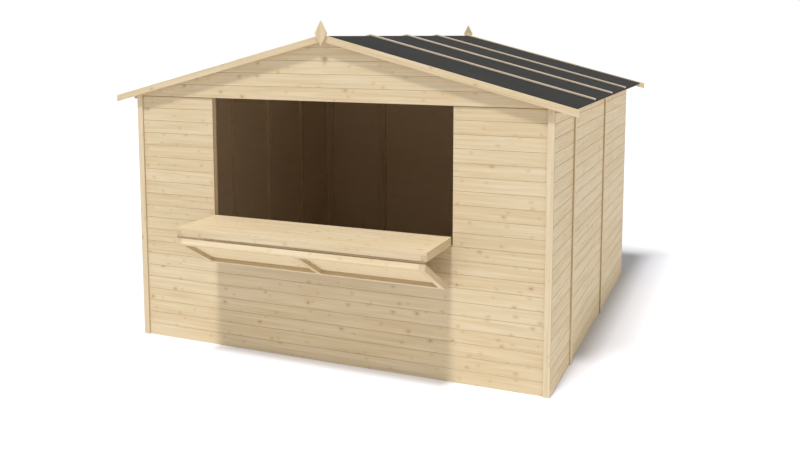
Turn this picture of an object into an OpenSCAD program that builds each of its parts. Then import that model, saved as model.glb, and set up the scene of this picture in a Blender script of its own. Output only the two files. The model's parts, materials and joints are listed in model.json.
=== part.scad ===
// Wooden market stall: framed panels, felted apex roof, folding counter hatch.
// Millimetres, +Z up, front towards -Y. The floor is z = 0.

/* [Walls] */
// Outside width over the corner boards
stall_w = 3090; // [2400:10:3600]
// Depth over the wall panels, front to back
stall_d = 3000; // [2400:10:3600]
// Height of the wall panels, where the gables start
wall_h = 1800; // [1700:10:2200]
// Thickness of the wall boards
clad_t = 15; // [12:1:19]
// Depth of the wall framing behind the boards
frame_t = 30; // [27:1:45]
// Width of a framing stud or rail
frame_w = 45; // [38:1:60]
// Distance from the front to the first side panel joint
front_panel_w = 600; // [500:10:700]
// Corner board thickness
corner_t = 12; // [9:1:18]
// Width of the strips over the panel joints
strip_w = 45; // [35:1:60]
// Thickness of the strips over the panel joints
strip_t = 12; // [8:1:20]
// How far a gable stands out from the wall below it
gable_proud = 8; // [3:1:10]

/* [Opening] */
// Width of the serving opening
opening_w = 1800; // [1400:10:2000]
// Height of the front wall below the serving opening
sill_h = 894; // [800:2:1000]

/* [Roof] */
// Fall of the roof for each unit of run
fall = 0.26; // [0.2:0.01:0.5]
// Height of the wall plates at the outer face of the side walls
plate_h = 17; // [10:1:40]
// Overhang of the felted roof beyond the side walls
eaves_out = 112; // [80:1:160]
// Overhang of the roof boards at front and back
verge_out = 33; // [20:1:60]
// Roof board thickness, measured upright
deck_t = 12; // [9:1:22]
// Felt thickness, measured upright
felt_t = 3; // [2:0.5:5]
// How far the eaves strips of felt reach below the roof's upper face
felt_lip = 8; // [6:1:12]
// Felt batten width
batten_w = 32; // [24:1:45]
// Felt batten height
batten_t = 12; // [8:1:18]
// How far the felt battens stop short of the eaves
batten_short = 3; // [2:1:60]
// Distance of the first felt batten from the front wall
batten_first = 735; // [500:5:800]
// Distance between the felt battens
batten_step = 712; // [600:2:800]
// How far the bargeboards stand above the felt
barge_up = 9; // [0:1:15]
// Bargeboard height, measured upright
barge_h = 46; // [40:1:90]
// Bargeboard thickness
barge_t = 18; // [15:1:25]
// How far the bargeboards run past the eaves
barge_past = 41; // [20:1:80]
// Width of the batten under each eave, outside the wall
eaves_batten_w = 36; // [25:1:50]
// How far the eaves batten reaches below the wall top
eaves_batten_drop = 25; // [15:1:40]
// Purlin width
purlin_w = 45; // [38:1:60]
// Purlin height
purlin_h = 70; // [45:1:100]
// Finial height
finial_h = 164; // [140:1:200]
// Finial width
finial_w = 87; // [70:1:110]
// Finial thickness
finial_t = 16; // [12:1:20]
// Height of the finial's tip above the bargeboards
finial_rise = 91; // [70:1:110]

/* [Hatch] */
// Gap beside the counter leaf in the opening
leaf_side_gap = 7; // [6:0.5:12]
// Gap above, below and between the closed leaves
leaf_gap = 6; // [5:0.5:10]
// Counter top board thickness
counter_top_t = 16; // [12:1:22]
// Frame thickness of both leaves
leaf_frame_t = 27; // [22:1:34]
// Width of the leaf framing
leaf_frame_w = 40; // [30:1:50]
// Outer board thickness of both leaves
leaf_board_t = 13; // [10:1:16]
// How much narrower the flap is than the counter, each side
flap_inset = 6; // [2:1:15]
// Slope of the flap below the open counter, degrees
flap_slope = 30; // [20:1:50]

/* [Hinges] */
// Distance of a hinge pin from the boards
hinge_off = 6; // [5.5:0.5:9]
// Hinge knuckle radius
knuckle_r = 5; // [4:0.5:5]
// Hinge pin radius
pin_r = 2.5; // [2:0.1:3]
// Clearance between pin and knuckle
pin_gap = 0.05; // [0.02:0.01:0.1]
// Length of one knuckle
knuckle_len = 24; // [15:1:40]
// Gap between two knuckles
knuckle_gap = 0.5; // [0.3:0.1:1]
// Hinge plate thickness
plate_t = 2; // [1.5:0.1:3]
// Hinge plate length
plate_len = 34; // [20:1:38]
// Distance of the outer hinges from the middle
hinge_x = 640; // [400:10:680]

/* [Hidden] */
$fn = 48;
half_w = stall_w / 2;
wall_t = clad_t + frame_t;
in_w = half_w - wall_t;
half_o = opening_w / 2;
side_panel_w = (stall_d - front_panel_w) / 2;
joints_y = [front_panel_w, front_panel_w + side_panel_w];
mids_y = [front_panel_w + side_panel_w / 2, front_panel_w + side_panel_w * 3 / 2];
eave_x = half_w + eaves_out;
deck_x = eave_x - felt_t;
roof_x = eave_x + barge_past;
roof_t = deck_t + felt_t;
ridge_h = wall_h + plate_h + half_w * fall + roof_t;
head_half = min(in_w, half_w - frame_w / fall);
axis_z = sill_h + leaf_gap;
leaf_h = (wall_h - axis_z - leaf_gap * 2) / 2;
leaf_half = half_o - leaf_side_gap;
flap_half = leaf_half - flap_inset;
counter_t = counter_top_t + leaf_frame_t + leaf_board_t;
flap_t = leaf_frame_t + leaf_board_t;
counter_z = axis_z + hinge_off;
front_reach = hinge_off + leaf_h + leaf_gap / 2
    + (hinge_off + flap_t) * sin(flap_slope) - leaf_gap / 2 * cos(flap_slope);
back_reach = stall_d + verge_out + barge_t + finial_t;
front_y = round((front_reach - back_reach) * 5) / 10;
hinges_x = [-hinge_x, 0, hinge_x];
tab = knuckle_r + hinge_off / 2;

// A box between two corners, measured from the middle of the front wall line
module slab(a, b) {
    translate([a[0], front_y + a[1], a[2]]) cube(b - a);
}

// An upright outline in X and Z, drawn from y0 to y1
module upright(points, y0, y1) {
    translate([0, front_y + y1, 0]) rotate([90, 0, 0])
        linear_extrude(y1 - y0) polygon(points);
}

module both_sides() {
    children();
    mirror([1, 0, 0]) children();
}

// The same piece turned round to the back of the stall
module at_back() {
    translate([0, front_y * 2 + stall_d, 0]) rotate([0, 0, 180]) children();
}

// Height of a line that lies `under` below the roof's upper face
function roof_z(x, under) = ridge_h - abs(x) * fall - under;

// One strip of roof section between two distances from the ridge
function roof_strip(x0, x1, top, bottom) = [[x0, roof_z(x0, bottom)], [x1, roof_z(x1, bottom)],
    [x1, roof_z(x1, top)], [x0, roof_z(x0, top)]];

module gable() {
    color("BurlyWood") upright([[-in_w, wall_h], [in_w, wall_h], [in_w, roof_z(in_w, roof_t)],
        [0, roof_z(0, roof_t)], [-in_w, roof_z(in_w, roof_t)]], -gable_proud, clad_t);
}

module corner_boards() {
    color("Wheat") both_sides() upright([[in_w, 0], [half_w, 0],
        [half_w, roof_z(half_w, roof_t)], [in_w, roof_z(in_w, roof_t)]], -corner_t, 0);
}

module front_lower_boards() {
    color("BurlyWood") slab([-in_w, 0, 0], [in_w, clad_t, sill_h]);
}

module front_right_boards() {
    color("BurlyWood") slab([half_o, 0, sill_h], [in_w, clad_t, wall_h]);
}

module front_left_boards() {
    mirror([1, 0, 0]) front_right_boards();
}

module front_gable() {
    gable();
}

module front_corner_boards() {
    corner_boards();
}

module front_studs() {
    color("Tan") {
        both_sides() {
            slab([in_w - frame_w, clad_t, frame_w], [in_w, wall_t, wall_h]);
            slab([half_o, clad_t, frame_w], [half_o + frame_w, wall_t, wall_h]);
        }
        slab([-frame_w / 2, clad_t, frame_w], [frame_w / 2, wall_t, sill_h - frame_w]);
    }
}

module front_rails() {
    color("Tan") {
        slab([-in_w, clad_t, 0], [in_w, wall_t, frame_w]);
        slab([-half_o, clad_t, sill_h - frame_w], [half_o, wall_t, sill_h]);
        slab([-head_half, clad_t, wall_h], [head_half, wall_t, wall_h + frame_w]);
    }
}

module back_right_boards() {
    color("BurlyWood") slab([half_o, stall_d - clad_t, 0], [in_w, stall_d, wall_h]);
}

module back_left_boards() {
    mirror([1, 0, 0]) back_right_boards();
}

module back_middle_boards() {
    color("BurlyWood") slab([-half_o, stall_d - clad_t, 0], [half_o, stall_d, wall_h]);
}

module back_gable() {
    at_back() gable();
}

module back_corner_boards() {
    at_back() corner_boards();
}

module back_studs() {
    color("Tan") at_back() {
        both_sides() {
            slab([in_w - frame_w, clad_t, frame_w], [in_w, wall_t, wall_h]);
            slab([half_o - frame_w, clad_t, frame_w], [half_o + frame_w, wall_t, wall_h]);
        }
        slab([-frame_w / 2, clad_t, frame_w], [frame_w / 2, wall_t, wall_h]);
    }
}

module back_rails() {
    color("Tan") at_back() {
        slab([-in_w, clad_t, 0], [in_w, wall_t, frame_w]);
        slab([-head_half, clad_t, wall_h], [head_half, wall_t, wall_h + frame_w]);
    }
}

module side_boards(y0, y1) {
    color("BurlyWood") slab([half_w - clad_t, y0, 0], [half_w, y1, wall_h]);
}

module right_front_boards() {
    side_boards(0, joints_y[0]);
}

module right_middle_boards() {
    side_boards(joints_y[0], joints_y[1]);
}

module right_rear_boards() {
    side_boards(joints_y[1], stall_d);
}

module left_front_boards() {
    mirror([1, 0, 0]) right_front_boards();
}

module left_middle_boards() {
    mirror([1, 0, 0]) right_middle_boards();
}

module left_rear_boards() {
    mirror([1, 0, 0]) right_rear_boards();
}

module side_stud(y, width) {
    slab([in_w, y - width / 2, frame_w], [in_w + frame_t, y + width / 2, wall_h - frame_w]);
}

module side_studs() {
    color("Tan") both_sides() {
        side_stud(frame_w / 2, frame_w);
        side_stud(stall_d - frame_w / 2, frame_w);
        for (y = joints_y) side_stud(y, frame_w * 2);
        for (y = mids_y) side_stud(y, frame_w);
    }
}

module side_rails() {
    color("Tan") both_sides() {
        slab([in_w, 0, 0], [in_w + frame_t, stall_d, frame_w]);
        slab([in_w, 0, wall_h - frame_w], [in_w + frame_t, stall_d, wall_h]);
    }
}

module cover_strips() {
    color("Wheat") both_sides() {
        for (y = joints_y) slab([half_w, y - strip_w / 2, 0],
            [half_w + strip_t, y + strip_w / 2, wall_h - eaves_batten_drop]);
        slab([half_o - strip_w / 2, stall_d, 0],
            [half_o + strip_w / 2, stall_d + strip_t, wall_h]);
    }
}

// Rails on the side walls, cut to the roof's slope
module wall_plates() {
    color("Tan") both_sides() upright([[in_w, wall_h], [half_w, wall_h],
        [half_w, roof_z(half_w, roof_t)], [in_w, roof_z(in_w, roof_t)]], 0, stall_d);
}

module eaves_battens() {
    out_x = half_w + eaves_batten_w;
    low_z = wall_h - eaves_batten_drop;
    color("Tan") both_sides() upright([[half_w, low_z], [out_x, low_z],
        [out_x, roof_z(out_x, roof_t)], [half_w, roof_z(half_w, roof_t)]], 0, stall_d);
}

module purlins() {
    mid_x = in_w / 2;
    mid_z = roof_z(mid_x + purlin_w / 2, roof_t) - purlin_h;
    color("Tan") {
        upright([[-purlin_w / 2, roof_z(0, roof_t) - purlin_h],
            [purlin_w / 2, roof_z(0, roof_t) - purlin_h],
            [purlin_w / 2, roof_z(purlin_w / 2, roof_t)], [0, roof_z(0, roof_t)],
            [-purlin_w / 2, roof_z(purlin_w / 2, roof_t)]], clad_t, stall_d - clad_t);
        both_sides() upright([[mid_x - purlin_w / 2, mid_z], [mid_x + purlin_w / 2, mid_z],
            [mid_x + purlin_w / 2, roof_z(mid_x + purlin_w / 2, roof_t)],
            [mid_x - purlin_w / 2, roof_z(mid_x - purlin_w / 2, roof_t)]],
            clad_t, stall_d - clad_t);
    }
}

module right_roof_boards() {
    color("BurlyWood") upright(roof_strip(0, deck_x, felt_t, roof_t),
        -verge_out, stall_d + verge_out);
}

module left_roof_boards() {
    mirror([1, 0, 0]) right_roof_boards();
}

module right_felt() {
    color("DimGray") upright(roof_strip(0, eave_x, 0, felt_t),
        -verge_out, stall_d + verge_out);
}

module left_felt() {
    mirror([1, 0, 0]) right_felt();
}

// Felt nailed down the roof edge under the sheets
module eaves_felt_strips() {
    low_z = roof_z(eave_x, felt_lip);
    color("DimGray") both_sides() upright([[deck_x, low_z], [eave_x, low_z],
        [eave_x, roof_z(eave_x, felt_t)], [deck_x, roof_z(deck_x, felt_t)]],
        -verge_out, stall_d + verge_out);
}

module right_felt_battens() {
    color("Wheat") for (i = [0 : 2]) {
        y = batten_first + i * batten_step;
        upright(roof_strip(0, eave_x - batten_short, -batten_t, 0),
            y - batten_w / 2, y + batten_w / 2);
    }
}

module left_felt_battens() {
    mirror([1, 0, 0]) right_felt_battens();
}

module bargeboard() {
    color("Wheat") upright(roof_strip(0, roof_x, -barge_up, barge_h - barge_up),
        -verge_out - barge_t, -verge_out);
}

module front_right_bargeboard() {
    bargeboard();
}

module front_left_bargeboard() {
    mirror([1, 0, 0]) bargeboard();
}

module back_left_bargeboard() {
    at_back() bargeboard();
}

module back_right_bargeboard() {
    at_back() mirror([1, 0, 0]) bargeboard();
}

module finial() {
    tip_z = ridge_h + barge_up + finial_rise;
    wide_z = tip_z - finial_h / 2;
    half_f = finial_w / 2;
    upright([[0, tip_z - finial_h], [half_f * 0.66, wide_z - finial_h * 0.21], [half_f, wide_z],
        [half_f * 0.66, wide_z + finial_h * 0.16], [0, tip_z], [-half_f * 0.66, wide_z + finial_h * 0.16],
        [-half_f, wide_z], [-half_f * 0.66, wide_z - finial_h * 0.21]],
        -verge_out - barge_t - finial_t, -verge_out - barge_t);
}

module finials() {
    color("Wheat") {
        finial();
        at_back() finial();
    }
}

// Places a leaf drawn with its hinge axis on the X axis and the leaf running to -Y
module on_sill() {
    translate([0, front_y - hinge_off, axis_z]) children();
}

module on_counter() {
    on_sill() translate([0, -leaf_h - leaf_gap / 2, 0]) rotate([180 - flap_slope, 0, 0])
        children();
}

// A piece of a leaf from `near` to `far` off its hinge and from `low` to `high` off its boards
module leaf_piece(x0, x1, near, far, low, high) {
    translate([x0, -far, hinge_off + low]) cube([x1 - x0, far - near, high - low]);
}

module leaf_stiles(half, near, far) {
    both_sides() leaf_piece(half - leaf_frame_w, half, near, far, 0, flap_t);
    leaf_piece(-leaf_frame_w / 2, leaf_frame_w / 2, near + leaf_frame_w, far - leaf_frame_w,
        leaf_board_t, flap_t);
}

module leaf_rails(half, near, far) {
    field = half - leaf_frame_w;
    for (y = [near, far - leaf_frame_w])
        leaf_piece(-field, field, y, y + leaf_frame_w, 0, flap_t);
}

module leaf_boards(half, near, far) {
    field = half - leaf_frame_w;
    leaf_piece(-field, field, near + leaf_frame_w, far - leaf_frame_w, 0, leaf_board_t);
}

module counter_top() {
    color("Wheat") on_sill() leaf_piece(-leaf_half, leaf_half, 0, leaf_h, flap_t, counter_t);
}

module counter_stiles() {
    color("Tan") on_sill() leaf_stiles(leaf_half, 0, leaf_h);
}

module counter_rails() {
    color("Tan") on_sill() leaf_rails(leaf_half, 0, leaf_h);
}

module counter_soffit() {
    color("BurlyWood") on_sill() leaf_boards(leaf_half, 0, leaf_h);
}

module flap_boards() {
    color("BurlyWood") on_counter() leaf_boards(flap_half, leaf_gap / 2, leaf_gap / 2 + leaf_h);
}

module flap_stiles() {
    color("Tan") on_counter() leaf_stiles(flap_half, leaf_gap / 2, leaf_gap / 2 + leaf_h);
}

module flap_rails() {
    color("Tan") on_counter() leaf_rails(flap_half, leaf_gap / 2, leaf_gap / 2 + leaf_h);
}

// One knuckle round the X axis with a tab to its plate
module knuckle(x0) {
    translate([x0, 0, 0]) rotate([90, 0, 90]) linear_extrude(knuckle_len) {
        circle(knuckle_r);
        translate([-tab, hinge_off - plate_t]) square([tab, plate_t]);
    }
}

module plate() {
    half_len = knuckle_len * 3 / 2 + knuckle_gap;
    translate([-half_len, -tab - plate_len, hinge_off - plate_t])
        cube([half_len * 2, plate_len, plate_t]);
}

// The leaf with the outer knuckles and the pin
module pin_leaf() {
    plate();
    knuckle(-knuckle_len * 3 / 2 - knuckle_gap);
    knuckle(knuckle_len / 2 + knuckle_gap);
    rotate([0, 90, 0]) cylinder(r = pin_r, h = knuckle_len * 2, center = true);
}

// The leaf with the middle knuckle
module eye_leaf() {
    difference() {
        union() {
            plate();
            knuckle(-knuckle_len / 2);
        }
        rotate([0, 90, 0]) cylinder(r = pin_r + pin_gap, h = knuckle_len * 2, center = true);
    }
}

module sill_hinge_leaves() {
    color("Silver") on_sill() for (x = hinges_x) translate([x, 0, 0])
        rotate([90, 0, 0]) mirror([0, 0, 1]) pin_leaf();
}

module counter_hinge_leaves() {
    color("Silver") on_sill() for (x = hinges_x) {
        translate([x, 0, 0]) eye_leaf();
        translate([x, -leaf_h - leaf_gap / 2, 0]) mirror([0, 1, 0]) pin_leaf();
    }
}

module flap_hinge_leaves() {
    color("Silver") on_counter() for (x = hinges_x) translate([x, 0, 0]) eye_leaf();
}

front_lower_boards();
front_left_boards();
front_right_boards();
front_gable();
front_studs();
front_rails();
front_corner_boards();
back_left_boards();
back_middle_boards();
back_right_boards();
back_gable();
back_studs();
back_rails();
back_corner_boards();
left_front_boards();
left_middle_boards();
left_rear_boards();
right_front_boards();
right_middle_boards();
right_rear_boards();
side_studs();
side_rails();
cover_strips();
wall_plates();
eaves_battens();
purlins();
left_roof_boards();
right_roof_boards();
left_felt();
right_felt();
eaves_felt_strips();
left_felt_battens();
right_felt_battens();
front_left_bargeboard();
front_right_bargeboard();
back_left_bargeboard();
back_right_bargeboard();
finials();
counter_top();
counter_stiles();
counter_rails();
counter_soffit();
flap_boards();
flap_stiles();
flap_rails();
sill_hinge_leaves();
counter_hinge_leaves();
flap_hinge_leaves();
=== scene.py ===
import json
import math
import random

import bmesh
import bpy
from mathutils import Matrix, Vector


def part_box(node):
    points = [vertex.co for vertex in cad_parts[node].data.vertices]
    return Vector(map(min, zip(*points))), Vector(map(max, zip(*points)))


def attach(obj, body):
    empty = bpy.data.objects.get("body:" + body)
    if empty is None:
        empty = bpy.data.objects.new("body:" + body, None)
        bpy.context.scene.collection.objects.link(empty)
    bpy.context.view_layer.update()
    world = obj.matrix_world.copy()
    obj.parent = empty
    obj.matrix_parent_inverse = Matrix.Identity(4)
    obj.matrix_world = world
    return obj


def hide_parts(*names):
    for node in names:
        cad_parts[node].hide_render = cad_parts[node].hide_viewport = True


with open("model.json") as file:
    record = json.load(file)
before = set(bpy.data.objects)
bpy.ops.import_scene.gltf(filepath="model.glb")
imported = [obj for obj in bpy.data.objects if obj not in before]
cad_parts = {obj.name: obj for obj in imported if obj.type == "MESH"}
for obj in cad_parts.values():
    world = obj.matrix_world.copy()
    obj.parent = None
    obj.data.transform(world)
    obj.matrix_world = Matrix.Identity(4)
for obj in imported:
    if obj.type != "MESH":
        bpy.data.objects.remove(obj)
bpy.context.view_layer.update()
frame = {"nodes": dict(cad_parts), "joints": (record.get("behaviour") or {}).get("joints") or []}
dice = random.Random(41)
# x runs along the stall's width, y into its depth and z up
widthWay = Vector((1, 0, 0))
depthWay = Vector((0, 1, 0))
heightWay = Vector((0, 0, 1))
print("frame loaded")


# colours are written as sRGB hex and used as linear values
def hexColour(code):
    parts = [int(code[i:i + 2], 16) / 255 for i in (1, 3, 5)]
    line = [c / 12.92 if c <= 0.04045 else ((c + 0.055) / 1.055) ** 2.4 for c in parts]
    return (*line, 1.0)


# a pattern's real size in millimetres, as a texture scale on coordinates in metres
def perMetre(sizeMm):
    return 1000 / sizeMm


# adds one node, sets its fields or inputs, and links its inputs from (node, output)
def addNode(tree, kind, settings=None, links=None):
    node = tree.nodes.new(kind)
    for key, value in (settings or {}).items():
        if isinstance(key, str) and hasattr(node, key):
            setattr(node, key, value)
        else:
            node.inputs[key].default_value = value
    for key, (source, output) in (links or {}).items():
        tree.links.new(source.outputs[output], node.inputs[key])
    return node


def newMaterial(name):
    material = bpy.data.materials.new(name)
    material.use_nodes = True
    material.node_tree.nodes.clear()
    return material, material.node_tree


# spreads the colours of a look over a ramp
def rampColours(ramp, stops, colours):
    while len(ramp.color_ramp.elements) < len(stops):
        ramp.color_ramp.elements.new(0.5)
    for element, stop, colour in zip(ramp.color_ramp.elements, stops, colours):
        element.position = stop
        element.color = hexColour(colour)
    return ramp


# 1 for what the camera, a reflection or glass sees, 0 for light that only bounces
def seenRays(tree):
    path = addNode(tree, "ShaderNodeLightPath")
    shiny = addNode(tree, "ShaderNodeMath", {"operation": "MAXIMUM"},
                    {0: (path, "Is Camera Ray"), 1: (path, "Is Glossy Ray")})
    return addNode(tree, "ShaderNodeMath", {"operation": "MAXIMUM"},
                   {0: (shiny, "Value"), 1: (path, "Is Transmission Ray")})


def linkObject(name, data):
    item = bpy.data.objects.new(name, data)
    bpy.context.scene.collection.objects.link(item)
    return item


# the photograph's viewing point, fitted to the stall's corners
cameraSet = {"place": (2.6512, -6.4066, 2.2411), "yaw": 0.3924, "pitch": 0.1087,
             "lens": 38.82, "sensor": 36, "shiftY": -0.12, "farEnd": 200}
cameraData = bpy.data.cameras.new("viewCamera")
cameraData.lens = cameraSet["lens"]
cameraData.sensor_width = cameraSet["sensor"]
cameraData.shift_y = cameraSet["shiftY"]
cameraData.clip_end = cameraSet["farEnd"]
viewCamera = linkObject("viewCamera", cameraData)
viewCamera.location = cameraSet["place"]
viewCamera.rotation_euler = (math.pi / 2 - cameraSet["pitch"], 0, cameraSet["yaw"])
bpy.context.scene.camera = viewCamera
print("camera set")

# sizes along and across the grain. Streaks are drawn coarse: real rings are nearer 3 mm and would
# not show. Half of the knot cells hold a knot, up to 27 by 19 mm, about one in 400 mm of board.
grainSet = {"streakMm": (500, 16), "patchMm": (700, 40), "knotCellMm": (160, 110),
            "bendMm": 33, "bend": 0.014, "knotPick": 0.5, "knotEdge": 0.05, "haloEdge": (-0.14, 0.03),
            "stops": (0.32, 0.48, 0.68), "rough": (0.56, 0.74), "bumpDepth": 0.001}


# planed Nordic spruce: pale cream, soft streaks along the board, small brown knots
def spruceMaterial(name, look):
    material, tree = newMaterial(name)
    grain = addNode(tree, "ShaderNodeUVMap", {"uv_map": "grainMap"})
    tone = addNode(tree, "ShaderNodeAttribute", {"attribute_name": "boardTone"})
    groove = addNode(tree, "ShaderNodeAttribute", {"attribute_name": "grooveGrainAndShade"})
    inner = addNode(tree, "ShaderNodeAttribute", {"attribute_name": "innerFace"})
    # fine streaks, broad pale and warm patches, and each board's own tone
    streakMap = addNode(tree, "ShaderNodeMapping", {"Scale": (*map(perMetre, grainSet["streakMm"]), 1)},
                        {"Vector": (grain, "UV")})
    streak = addNode(tree, "ShaderNodeTexNoise", {"Scale": 1.0, "Detail": 5.0, "Roughness": 0.62},
                     {"Vector": (streakMap, "Vector")})
    patchMap = addNode(tree, "ShaderNodeMapping", {"Scale": (*map(perMetre, grainSet["patchMm"]), 1)},
                       {"Vector": (grain, "UV")})
    patch = addNode(tree, "ShaderNodeTexNoise", {"Scale": 1.0, "Detail": 2.0, "Roughness": 0.5},
                    {"Vector": (patchMap, "Vector")})
    streakPart = addNode(tree, "ShaderNodeMath", {"operation": "MULTIPLY", 1: look["streak"]},
                         {0: (streak, "Fac")})
    patchPart = addNode(tree, "ShaderNodeMath", {"operation": "MULTIPLY_ADD", 1: look["patch"]},
                        {0: (patch, "Fac"), 2: (streakPart, "Value")})
    tonePart = addNode(tree, "ShaderNodeMath", {"operation": "MULTIPLY_ADD", 1: look["tone"]},
                       {0: (tone, "Fac"), 2: (patchPart, "Value")})
    wood = rampColours(addNode(tree, "ShaderNodeValToRGB", {}, {"Fac": (tonePart, "Value")}),
                       grainSet["stops"], (look["pale"], look["mid"], look["deep"]))
    # knots with a bent outline, a dark core and a warm halo
    knotBend = addNode(tree, "ShaderNodeTexNoise", {"Scale": perMetre(grainSet["bendMm"]), "Detail": 1.0},
                       {"Vector": (grain, "UV")})
    bent = addNode(tree, "ShaderNodeVectorMath",
                   {"operation": "MULTIPLY_ADD", 1: (grainSet["bend"], grainSet["bend"], 0)},
                   {0: (knotBend, "Color"), 2: (grain, "UV")})
    knotMap = addNode(tree, "ShaderNodeMapping", {"Scale": (*map(perMetre, grainSet["knotCellMm"]), 1)},
                      {"Vector": (bent, "Vector")})
    knot = addNode(tree, "ShaderNodeTexVoronoi", {"voronoi_dimensions": "2D", "Scale": 1.0},
                   {"Vector": (knotMap, "Vector")})
    pick = addNode(tree, "ShaderNodeSeparateColor", {}, {"Color": (knot, "Color")})
    size = addNode(tree, "ShaderNodeMapRange",
                   {"From Min": grainSet["knotPick"], "From Max": 1.0,
                    "To Min": 0.0, "To Max": look["knotSize"]},
                   {"Value": (pick, "Red")})
    near = addNode(tree, "ShaderNodeMath", {"operation": "SUBTRACT"},
                   {0: (size, "Result"), 1: (knot, "Distance")})
    core = addNode(tree, "ShaderNodeMapRange",
                   {"From Min": 0.0, "From Max": grainSet["knotEdge"],
                    "To Min": 0.0, "To Max": look["knotDark"]},
                   {"Value": (near, "Value")})
    halo = addNode(tree, "ShaderNodeMapRange",
                   {"From Min": grainSet["haloEdge"][0], "From Max": grainSet["haloEdge"][1],
                    "To Min": 0.0, "To Max": look["knotHalo"]},
                   {"Value": (near, "Value")})
    haloed = addNode(tree, "ShaderNodeMix", {"data_type": "RGBA", "B": hexColour(look["haloHex"])},
                     {"Factor": (halo, "Result"), "A": (wood, "Color")})
    knotted = addNode(tree, "ShaderNodeMix", {"data_type": "RGBA", "B": hexColour(look["knotHex"])},
                      {"Factor": (core, "Result"), "A": (haloed, "Result")})
    # darker toward one brown: dirt in the board joints, dirt with painted shade in the V grooves, browner end
    # grain, and painted shade on strip edges, leaf ends, the flap frame's inner faces and the bevel under the
    # gables
    grooved = addNode(tree, "ShaderNodeMix", {"data_type": "RGBA", "B": hexColour(look["grooveGrainAndShadeHex"])},
                      {"Factor": (groove, "Fac"), "A": (knotted, "Result")})
    # the inside of a wall is rough sawn; its faces are mixed toward one even tone that is lifted for the dim
    # interior, painted light, and the flap's outer side takes the same mix back to the walls' tone
    inside = addNode(tree, "ShaderNodeMix", {"data_type": "RGBA", "B": hexColour(look["innerHex"])},
                     {"Factor": (inner, "Fac"), "A": (grooved, "Result")})
    rough = addNode(tree, "ShaderNodeMapRange",
                    {"To Min": grainSet["rough"][0], "To Max": grainSet["rough"][1]},
                    {"Value": (streak, "Fac")})
    bump = addNode(tree, "ShaderNodeBump", {"Strength": look["bump"], "Distance": grainSet["bumpDepth"]},
                   {"Height": (streak, "Fac")})
    shader = addNode(tree, "ShaderNodeBsdfPrincipled", {"IOR": 1.48, "Specular IOR Level": 0.25},
                     {"Base Color": (inside, "Result"), "Roughness": (rough, "Result"),
                      "Normal": (bump, "Normal")})
    addNode(tree, "ShaderNodeOutputMaterial", {}, {"Surface": (shader, "BSDF")})
    return material


spruceLook = {"pale": "#ECDAB8", "mid": "#E3CDA6", "deep": "#D3B98D", "knotHex": "#6E4A2C",
              "haloHex": "#C29C69", "grooveGrainAndShadeHex": "#B69F78", "innerHex": "#E6CBA8",
              "streak": 0.56, "patch": 0.33, "tone": 0.10, "bump": 0.10,
              "knotSize": 0.086, "knotDark": 0.36, "knotHalo": 0.42}
trimLook = dict(spruceLook, pale="#EDDCBC", mid="#E5CFA9", deep="#D3B88B", knotSize=0.078, knotHalo=0.3)
frameLook = dict(spruceLook, pale="#E9D2AD", mid="#E0C59D", deep="#CDB086", knotSize=0.07, bump=0.25)
sideLook = dict(spruceLook, knotSize=0.052, knotDark=0.28)  # clearer boards on the side walls
battenLook = dict(trimLook, pale="#E6D5C0", mid="#DCC8B0", deep="#C9B298")  # weathered a little greyer
# the flap's boards are painted paler than the trim on their down side, in part shade under the counter, a
# painted lift of light; their outer side is mixed back to the walls' tone
flapLook = dict(trimLook, pale="#F6E5C3", mid="#F0DAB0", deep="#DEC494", innerHex="#DBC49E")
planedSpruce = spruceMaterial("planedSpruceBoards", spruceLook)
trimSpruce = spruceMaterial("planedSpruceTrim", trimLook)
sawnSpruce = spruceMaterial("sawnSpruceFraming", frameLook)
sideSpruce = spruceMaterial("clearSpruceBoards", sideLook)
battenSpruce = spruceMaterial("weatheredSpruceBattens", battenLook)
flapSpruce = spruceMaterial("flapSpruceWithPaintedLift", flapLook)

# the real grit is about 1 mm, drawn at 7 mm so that it shows
feltSet = {"dark": "#191918", "light": "#2A2A27", "stops": (0.45, 0.95), "gritMm": 7, "cloudMm": 450,
           "cloudPart": 0.45}


# bitumen roofing felt with fine mineral grit: dark grey, quite matt
def feltMaterial():
    material, tree = newMaterial("mineralRoofingFelt")
    place = addNode(tree, "ShaderNodeTexCoord")
    grit = addNode(tree, "ShaderNodeTexNoise",
                   {"Scale": perMetre(feltSet["gritMm"]), "Detail": 3.0, "Roughness": 0.7},
                   {"Vector": (place, "Object")})
    cloud = addNode(tree, "ShaderNodeTexNoise", {"Scale": perMetre(feltSet["cloudMm"]), "Detail": 3.0},
                    {"Vector": (place, "Object")})
    both = addNode(tree, "ShaderNodeMath", {"operation": "MULTIPLY_ADD", 1: feltSet["cloudPart"]},
                   {0: (cloud, "Fac"), 2: (grit, "Fac")})
    colour = rampColours(addNode(tree, "ShaderNodeValToRGB", {}, {"Fac": (both, "Value")}),
                         feltSet["stops"], (feltSet["dark"], feltSet["light"]))
    bump = addNode(tree, "ShaderNodeBump", {"Strength": 0.35, "Distance": 0.0015}, {"Height": (grit, "Fac")})
    shader = addNode(tree, "ShaderNodeBsdfPrincipled",
                     {"Roughness": 0.9, "IOR": 1.5, "Specular IOR Level": 0.183},
                     {"Base Color": (colour, "Color"), "Normal": (bump, "Normal")})
    addNode(tree, "ShaderNodeOutputMaterial", {}, {"Surface": (shader, "BSDF")})
    return material


# orange peel in lacquer is 1 to 3 mm, drawn at 5.5 mm so that it shows
hingeSet = {"dark": "#937D5C", "light": "#A38D6A", "stops": (0.3, 0.7), "peelMm": 5.5}
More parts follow.
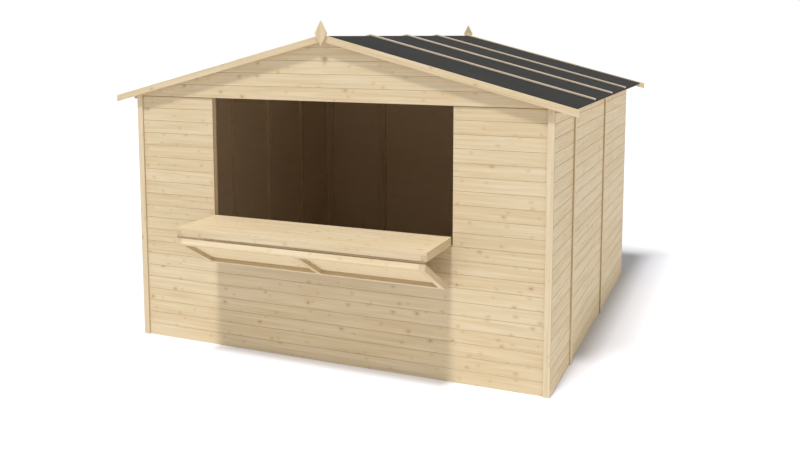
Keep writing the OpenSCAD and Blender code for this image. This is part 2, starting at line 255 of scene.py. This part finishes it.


# pressed steel hinges in brown lacquer: a faint orange peel and a soft sheen; the brown is matched to the
# shaded line along the fold, painted shade
def hingeMaterial():
    material, tree = newMaterial("foldShadeBrownSteel")
    place = addNode(tree, "ShaderNodeTexCoord")
    peel = addNode(tree, "ShaderNodeTexNoise", {"Scale": perMetre(hingeSet["peelMm"]), "Detail": 2.0},
                   {"Vector": (place, "Object")})
    colour = rampColours(addNode(tree, "ShaderNodeValToRGB", {}, {"Fac": (peel, "Fac")}),
                         hingeSet["stops"], (hingeSet["dark"], hingeSet["light"]))
    rough = addNode(tree, "ShaderNodeMapRange", {"To Min": 0.42, "To Max": 0.55}, {"Value": (peel, "Fac")})
    bump = addNode(tree, "ShaderNodeBump", {"Strength": 0.1, "Distance": 0.0005}, {"Height": (peel, "Fac")})
    shader = addNode(tree, "ShaderNodeBsdfPrincipled", {"IOR": 1.5},
                     {"Base Color": (colour, "Color"), "Roughness": (rough, "Result"),
                      "Normal": (bump, "Normal")})
    addNode(tree, "ShaderNodeOutputMaterial", {}, {"Surface": (shader, "BSDF")})
    return material


roofFelt = feltMaterial()
hingeSteel = hingeMaterial()
print("materials made")

# lengths in metres, angles in radians, and how squarely a face looks along a direction (1 is dead on)
shapeSet = {"mergeGap": 0.00002, "flatAngle": 0.01, "sharpAngle": 0.3, "onPlane": 0.00001, "facing": 0.9,
            "flush": 0.99}


# a merged copy of a CAD node's solids, as flat faces again
def nodeShape(node):
    shape = bmesh.new()
    shape.from_mesh(frame["nodes"][node].data)
    bmesh.ops.remove_doubles(shape, verts=shape.verts, dist=shapeSet["mergeGap"])
    bmesh.ops.dissolve_limit(shape, angle_limit=shapeSet["flatAngle"], verts=shape.verts, edges=shape.edges)
    shape.loops.layers.uv.new("grainMap")
    for layer in ("boardTone", "grooveGrainAndShade", "innerFace"):
        shape.faces.layers.float.new(layer)
    return shape


# the separate bars of a shape, always in the order of their faces
def islandsOf(shape):
    seen = set()
    groups = []
    for first in shape.faces:
        if first in seen:
            continue
        seen.add(first)
        stack = [first]
        group = []
        while stack:
            face = stack.pop()
            group.append(face)
            for edge in face.edges:
                for other in edge.link_faces:
                    if other not in seen:
                        seen.add(other)
                        stack.append(other)
        groups.append(group)
    return groups


# cuts edges off and gives the new faces
def bevelEdges(shape, edges, width, segments=1):
    made = bmesh.ops.bevel(shape, geom=edges, offset=width, offset_type="OFFSET", segments=segments,
                           profile=0.5, affect="EDGES", material=-1, clamp_overlap=True)
    return made["faces"]


# timber is cut from a long stock, so no two pieces share their grain, and end grain is a little browner
timberSet = {"edge": 0.002, "edgeSteps": 2, "stock": 40, "toneSpread": 0.5, "endOn": 0.3, "endGrain": 0.45,
             "endDepth": 0.004}


# lays the grain map along a direction, with its own stretch of timber for each piece
def layGrain(shape, faces, along):
    grainLayer = shape.loops.layers.uv["grainMap"]
    toneLayer = shape.faces.layers.float["boardTone"]
    grooveGrainAndShadeLayer = shape.faces.layers.float["grooveGrainAndShade"]
    start = (dice.uniform(0, timberSet["stock"]), dice.uniform(0, timberSet["stock"]))
    tone = dice.uniform(-timberSet["toneSpread"], timberSet["toneSpread"])
    along = along.normalized()
    for face in faces:
        across = face.normal.cross(along)
        if across.length < timberSet["endOn"]:
            across = along.orthogonal()
            run = face.normal.cross(across)
            face[grooveGrainAndShadeLayer] = max(face[grooveGrainAndShadeLayer], timberSet["endGrain"])
        else:
            run = along
        across.normalize()
        face[toneLayer] = tone
        for loop in face.loops:
            place = loop.vert.co
            loop[grainLayer].uv = (start[0] + place.dot(run), start[1] + place.dot(across))


def finishPiece(shape, name, material, body, nodes):
    mesh = bpy.data.meshes.new(name)
    shape.to_mesh(mesh)
    shape.free()
    piece = linkObject(name, mesh)
    mesh.materials.append(material)
    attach(piece, body)
    if nodes:
        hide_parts(*nodes)


# timber bars: softened edges and grain along their length. The shades paint shade on their narrow edges,
# the faces between their outer ones along innerAxes, and their ends
def timberPiece(node, name, along, material, body="stall", slot="spruce_boards",
                edgeShade=0.0, innerShade=0.0, innerAxes=(), endShade=0.0):
    shape = nodeShape(node)
    sharp = [e for e in shape.edges
             if len(e.link_faces) == 2 and e.calc_face_angle() > shapeSet["sharpAngle"]]
    bevelEdges(shape, sharp, timberSet["edge"], timberSet["edgeSteps"])
    grooveGrainAndShadeLayer = shape.faces.layers.float["grooveGrainAndShade"]
    for group in islandsOf(shape):
        layGrain(shape, group, along)
        corners = [v.co for f in group for v in f.verts]
        spans = [max(c[i] for c in corners) - min(c[i] for c in corners) for i in range(3)]
        edgeAxis = spans.index(sorted(spans)[1])
        # painted shade on the narrow edges
        for face in group:
            if abs(face.normal[edgeAxis]) > shapeSet["facing"]:
                face[grooveGrainAndShadeLayer] = edgeShade
    # painted shade on the inner faces along innerAxes
    for axis in innerAxes:
        levels = [v.co.dot(axis) for v in shape.verts]
        low = min(levels) + timberSet["endDepth"]
        high = max(levels) - timberSet["endDepth"]
        for face in shape.faces:
            level = face.calc_center_median().dot(axis)
            if abs(face.normal.dot(axis)) > shapeSet["facing"] and low < level < high:
                face[grooveGrainAndShadeLayer] = innerShade
    # painted shade on the faces at the two ends along x, over any end grain
    ends = (min(v.co.x for v in shape.verts), max(v.co.x for v in shape.verts))
    for face in shape.faces:
        endGap = min(abs(face.calc_center_median().x - end) for end in ends)
        if abs(face.normal.x) > shapeSet["facing"] and endGap < timberSet["endDepth"]:
            face[grooveGrainAndShadeLayer] = max(face[grooveGrainAndShadeLayer], endShade)
    finishPiece(shape, name, material, body, [node])


# tongued boards: the height that one covers, the V groove, the open joint, and how dark both are: dirt in the
# joint, dirt with painted shade in the V groove
boardSet = {"cover": 0.090, "groove": 0.0017, "joint": 0.0004, "grooveGrainAndShade": 0.45, "jointShade": 1.0,
            "rowSlack": 0.001, "cutGap": 0.000001}


# one board of a slab, cut at its joints and closed again
def cutBoard(whole, rows, cuts):
    board = whole.copy()
    for level, side in cuts:
        cut = bmesh.ops.bisect_plane(board, geom=board.verts[:] + board.edges[:] + board.faces[:],
                                     dist=boardSet["cutGap"], plane_co=rows * level, plane_no=rows * side,
                                     clear_outer=True)
        edges = [g for g in cut["geom_cut"] if isinstance(g, bmesh.types.BMEdge)]
        bmesh.ops.edgeloop_fill(board, edges=edges)
    bmesh.ops.recalc_face_normals(board, faces=board.faces)
    bmesh.ops.dissolve_limit(board, angle_limit=shapeSet["flatAngle"], verts=board.verts, edges=board.edges)
    return board


def atLevel(place, rows, levels):
    return any(abs(place.dot(rows) - level) < shapeSet["onPlane"] for level in levels)


# the edges of a board's outer face that lie at one of these levels
def outerEdges(board, outward, rows, levels):
    return [e for e in board.edges
            if atLevel((e.verts[0].co + e.verts[1].co) / 2, rows, levels)
            and any(f.normal.dot(outward) > shapeSet["flush"] for f in e.link_faces)]


# a slab cut in rows of boards, with V grooves on its outer face and dark joints
def boardedPiece(node, name, along, outward, rows, material, body="stall", cover=boardSet["cover"],
                 start=0.0, inner=0.0, outer=0.0, topShadowBevel=0.0, grooveGrainAndShade=boardSet["grooveGrainAndShade"]):
    whole = nodeShape(node)
    heights = [v.co.dot(rows) for v in whole.verts]
    first = math.floor((min(heights) - start) / cover + boardSet["rowSlack"])
    last = math.ceil((max(heights) - start) / cover - boardSet["rowSlack"])
    joined = bmesh.new()
    for row in range(first, last):
        low = start + row * cover + boardSet["joint"] / 2
        high = start + (row + 1) * cover - boardSet["joint"] / 2
        cuts = [(low, -1)] * (row > first) + [(high, 1)] * (row < last - 1)
        board = cutBoard(whole, rows, cuts)
        grooveGrainAndShadeLayer = board.faces.layers.float["grooveGrainAndShade"]
        innerLayer = board.faces.layers.float["innerFace"]
        joints = [level for level, side in cuts]
        # the V grooves get dirt with painted shade
        for face in bevelEdges(board, outerEdges(board, outward, rows, joints), boardSet["groove"]):
            face[grooveGrainAndShadeLayer] = grooveGrainAndShade
        # painted shadow on the top bevel under a gable that stands out
        if topShadowBevel and row == last - 1:
            top = max(v.co.dot(rows) for v in board.verts)
            for face in bevelEdges(board, outerEdges(board, outward, rows, [top]), topShadowBevel):
                face[grooveGrainAndShadeLayer] = boardSet["jointShade"]
        for face in board.faces:
            if atLevel(face.calc_center_median(), rows, joints):
                face[grooveGrainAndShadeLayer] = boardSet["jointShade"]
            if face.normal.dot(outward) < -shapeSet["facing"]:
                face[innerLayer] = inner
            if face.normal.dot(outward) > shapeSet["facing"]:
                face[innerLayer] = outer
        layGrain(board, board.faces, along)
        part = bpy.data.meshes.new("boardPart")
        board.to_mesh(part)
        board.free()
        joined.from_mesh(part)
        bpy.data.meshes.remove(part)
    whole.free()
    finishPiece(joined, name, material, body, [node])


# walls of horizontal boards, with painted shadow on a bevel at the top of the boards under the gables that
# stand out over them; the side walls' V grooves carry more painted shade, and the inside faces a painted lift
wallSet = {"inner": 0.75, "gableShadowBevel": 0.006, "sideGroove": 0.7}
for node, name, outward, groove in (
        ("front_lower_boards", "frontLowerBoards", -depthWay, 0),
        ("front_gable", "frontGableBoards", -depthWay, 0),
        ("front_left_boards", "frontLeftBoards", -depthWay, wallSet["gableShadowBevel"]),
        ("front_right_boards", "frontRightBoards", -depthWay, wallSet["gableShadowBevel"]),
        ("back_gable", "backGableBoards", depthWay, 0),
        ("back_left_boards", "backLeftBoards", depthWay, wallSet["gableShadowBevel"]),
        ("back_middle_boards", "backMiddleBoards", depthWay, wallSet["gableShadowBevel"]),
        ("back_right_boards", "backRightBoards", depthWay, wallSet["gableShadowBevel"])):
    boardedPiece(node, name, widthWay, outward, heightWay, planedSpruce,
                 inner=wallSet["inner"], topShadowBevel=groove)
roofSet = {"cover": 0.112, "slope": 0.26}  # the slope is the CAD's, as rise over run
for side, outward in (("left", -widthWay), ("right", widthWay)):
    for part in ("front", "middle", "rear"):
        boardedPiece(f"{side}_{part}_boards", f"{side}{part.title()}Boards", depthWay, outward, heightWay,
                     sideSpruce, inner=wallSet["inner"], grooveGrainAndShade=wallSet["sideGroove"])
    boardedPiece(f"{side}_roof_boards", f"{side}RoofBoards", depthWay, -heightWay, outward, sawnSpruce,
                 cover=roofSet["cover"])
print("wall and roof boards made")

# framing, strips and trim
for node, name, along in (("front_studs", "frontStuds", heightWay), ("front_rails", "frontRails", widthWay),
                          ("back_studs", "backStuds", heightWay), ("back_rails", "backRails", widthWay),
                          ("side_studs", "sideStuds", heightWay), ("side_rails", "sideRails", depthWay),
                          ("wall_plates", "wallPlates", depthWay), ("purlins", "roofPurlins", depthWay),
                          ("eaves_battens", "eavesBattens", depthWay)):
    timberPiece(node, name, along, sawnSpruce, slot="framing_timber")
leftSlope = Vector((1, 0, roofSet["slope"]))
rightSlope = Vector((1, 0, -roofSet["slope"]))
# painted shade on the narrow edges of the flat strips and corner boards, where they stand out from the walls
edgeShades = {"cover_strips": 0.65, "front_corner_boards": 0.5, "back_corner_boards": 0.5}
for node, name, along, wood in (
        ("front_corner_boards", "frontCornerBoards", heightWay, trimSpruce),
        ("back_corner_boards", "backCornerBoards", heightWay, trimSpruce),
        ("cover_strips", "jointCoverStrips", heightWay, trimSpruce),
        ("finials", "gableFinials", heightWay, trimSpruce),
        ("front_left_bargeboard", "frontLeftBargeboard", leftSlope, trimSpruce),
        ("front_right_bargeboard", "frontRightBargeboard", rightSlope, trimSpruce),
        ("back_left_bargeboard", "backLeftBargeboard", leftSlope, trimSpruce),
        ("back_right_bargeboard", "backRightBargeboard", rightSlope, trimSpruce),
        ("left_felt_battens", "leftFeltBattens", leftSlope, battenSpruce),
        ("right_felt_battens", "rightFeltBattens", rightSlope, battenSpruce)):
    timberPiece(node, name, along, wood, edgeShade=edgeShades.get(node, 0.0))
print("framing and trim made")

# the folding hatch: painted shade on the faces at both ends of the leaves, over the counter top's browner end
# grain, and on the inner faces of the flap's frame. The tilt of the flap is the CAD's, in degrees
hatchSet = {"rows": 4, "topEnds": 0.55, "leafEnds": 0.5, "flapTilt": 30, "flapInner": 0.65, "flapOuter": 0.6}


# equal boards over the whole of a leaf
def leafRows(node, rows):
    levels = [v.co.dot(rows) for v in frame["nodes"][node].data.vertices]
    return {"start": min(levels), "cover": (max(levels) - min(levels)) / hatchSet["rows"]}


timberPiece("counter_top", "counterTop", widthWay, trimSpruce, body="counter_leaf",
            endShade=hatchSet["topEnds"])
timberPiece("counter_stiles", "counterStiles", depthWay, trimSpruce, body="counter_leaf",
            slot="framing_timber", endShade=hatchSet["leafEnds"])
timberPiece("counter_rails", "counterRails", widthWay, trimSpruce, body="counter_leaf", slot="framing_timber")
boardedPiece("counter_soffit", "counterSoffitBoards", widthWay, -heightWay, depthWay, planedSpruce,
             body="counter_leaf", **leafRows("counter_soffit", depthWay))
flapTilt = math.radians(hatchSet["flapTilt"])
flapDown = Vector((0, math.cos(flapTilt), -math.sin(flapTilt)))
flapUp = Vector((0, math.sin(flapTilt), math.cos(flapTilt)))
# the flap's boards: a painted lift of light on their down side, their outer side mixed back to the walls'
# tone
boardedPiece("flap_boards", "flapBoards", widthWay, flapUp, flapDown, flapSpruce, body="flap_leaf",
             outer=hatchSet["flapOuter"], **leafRows("flap_boards", flapDown))
flapInner = {"innerShade": hatchSet["flapInner"], "innerAxes": (widthWay, flapDown)}
timberPiece("flap_stiles", "flapStiles", flapDown, trimSpruce, body="flap_leaf", slot="framing_timber",
            endShade=hatchSet["leafEnds"], **flapInner)
timberPiece("flap_rails", "flapRails", widthWay, trimSpruce, body="flap_leaf", slot="framing_timber",
            **flapInner)

# a lacquered tube sits on the pins between the knuckles and closes the fold, a brown line in the photograph;
# tube and colour stand in for the shaded edge along the fold, painted shade
foldSet = {"radius": 0.0048, "gap": 0.0005, "edge": 0.0008, "edgeSteps": 2, "sides": 24, "rimAngle": 1.0}
foldAxis = next(j for j in frame["joints"] if j["name"] == "flap_hinge")["pos_m"]
hingeShape = nodeShape("flap_hinge_leaves")
hingeEnds = []
for group in islandsOf(hingeShape):
    places = [v.co.x for f in group for v in f.verts]
    hingeEnds += [min(places), max(places)]
hingeShape.free()
tubeEnds = sorted([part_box("flap_stiles")[0][0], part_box("flap_stiles")[1][0]] + hingeEnds)
tubes = bmesh.new()
for left, right in zip(tubeEnds[::2], tubeEnds[1::2]):
    made = bmesh.ops.create_cone(tubes, cap_ends=True, segments=foldSet["sides"], radius1=foldSet["radius"],
                                 radius2=foldSet["radius"], depth=right - left - 2 * foldSet["gap"])
    bmesh.ops.rotate(tubes, verts=made["verts"], cent=(0, 0, 0),
                     matrix=Matrix.Rotation(math.pi / 2, 3, "Y"))
    bmesh.ops.translate(tubes, verts=made["verts"], vec=((left + right) / 2, foldAxis[1], foldAxis[2]))
rims = [e for e in tubes.edges if e.calc_face_angle() > foldSet["rimAngle"]]
bevelEdges(tubes, rims, foldSet["edge"], foldSet["edgeSteps"])
for face in tubes.faces:
    face.smooth = len(face.verts) == 4
finishPiece(tubes, "foldTubes", hingeSteel, "counter_leaf", [])
print("hatch made")

# felt and hinges keep their solids and get their finish, the hinges a brown of painted shade
for material, nodes in ((roofFelt, ("left_felt", "right_felt", "eaves_felt_strips")),
                        (hingeSteel, ("sill_hinge_leaves", "counter_hinge_leaves", "flap_hinge_leaves"))):
    for node in nodes:
        slots = frame["nodes"][node].data.materials
        slots.clear()
        slots.append(material)

# pale studio floor that keeps the stall's soft shadow, paler as it is seen than as it
# lights the stall, so that the shade under the counter stays
floorSet = {"size": 60.0, "seen": "#D8D8DC", "bounce": "#CACACD"}
floorShape = bmesh.new()
bmesh.ops.create_grid(floorShape, x_segments=1, y_segments=1, size=floorSet["size"])
floorMesh = bpy.data.meshes.new("studioFloor")
floorShape.to_mesh(floorMesh)
floorShape.free()
studioFloor = linkObject("studioFloor", floorMesh)
floorMaterial, floorTree = newMaterial("paleStudioFloor")
floorTone = addNode(floorTree, "ShaderNodeMix",
                    {"data_type": "RGBA", "A": hexColour(floorSet["bounce"]),
                     "B": hexColour(floorSet["seen"])},
                    {"Factor": (seenRays(floorTree), "Value")})
paleFloor = addNode(floorTree, "ShaderNodeBsdfDiffuse", {}, {"Color": (floorTone, "Result")})
addNode(floorTree, "ShaderNodeOutputMaterial", {}, {"Surface": (paleFloor, "BSDF")})
floorMesh.materials.append(floorMaterial)

# an even white room, white as it is seen and dimmer as it lights the stall
roomSet = {"light": 0.39, "seen": 1.0, "colour": (1, 1, 1, 1)}
whiteRoom = bpy.data.worlds.new("whiteRoom")
bpy.context.scene.world = whiteRoom
whiteRoom.use_nodes = True
roomTree = whiteRoom.node_tree
roomTree.nodes.clear()
roomLight = addNode(roomTree, "ShaderNodeBackground",
                    {"Color": roomSet["colour"], "Strength": roomSet["light"]})
roomSeen = addNode(roomTree, "ShaderNodeBackground",
                   {"Color": roomSet["colour"], "Strength": roomSet["seen"]})
roomMix = addNode(roomTree, "ShaderNodeMixShader", {},
                  {0: (seenRays(roomTree), "Value"), 1: (roomLight, "Background"),
                   2: (roomSeen, "Background")})
addNode(roomTree, "ShaderNodeOutputWorld", {}, {"Surface": (roomMix, "Shader")})

# one lamp high in front, a weak wide one for the right wall, and one from the front left
# for the floor alone, which draws the shadow at the right; spread and turn in degrees
lampSet = {"highLamp": {"strength": 2.12, "spread": 6.0, "turn": (23.5, 0, 0)},
           "sideFill": {"strength": 0.44, "spread": 80.0, "turn": (0, 70, 0)},
           "floorLamp": {"strength": 2.10, "spread": 10.0, "turn": (30, 0, -12)}}
lamps = {}
for name, lamp in lampSet.items():
    lampData = bpy.data.lights.new(name, "SUN")
    lampData.energy = lamp["strength"]
    lampData.angle = math.radians(lamp["spread"])
    lamps[name] = linkObject(name, lampData)
    lamps[name].rotation_euler = [math.radians(turn) for turn in lamp["turn"]]
floorOnly = bpy.data.collections.new("floorOnly")
floorOnly.objects.link(studioFloor)
lamps["floorLamp"].light_linking.receiver_collection = floorOnly
bpy.context.scene.view_settings.view_transform = "Standard"
print("floor and light set")
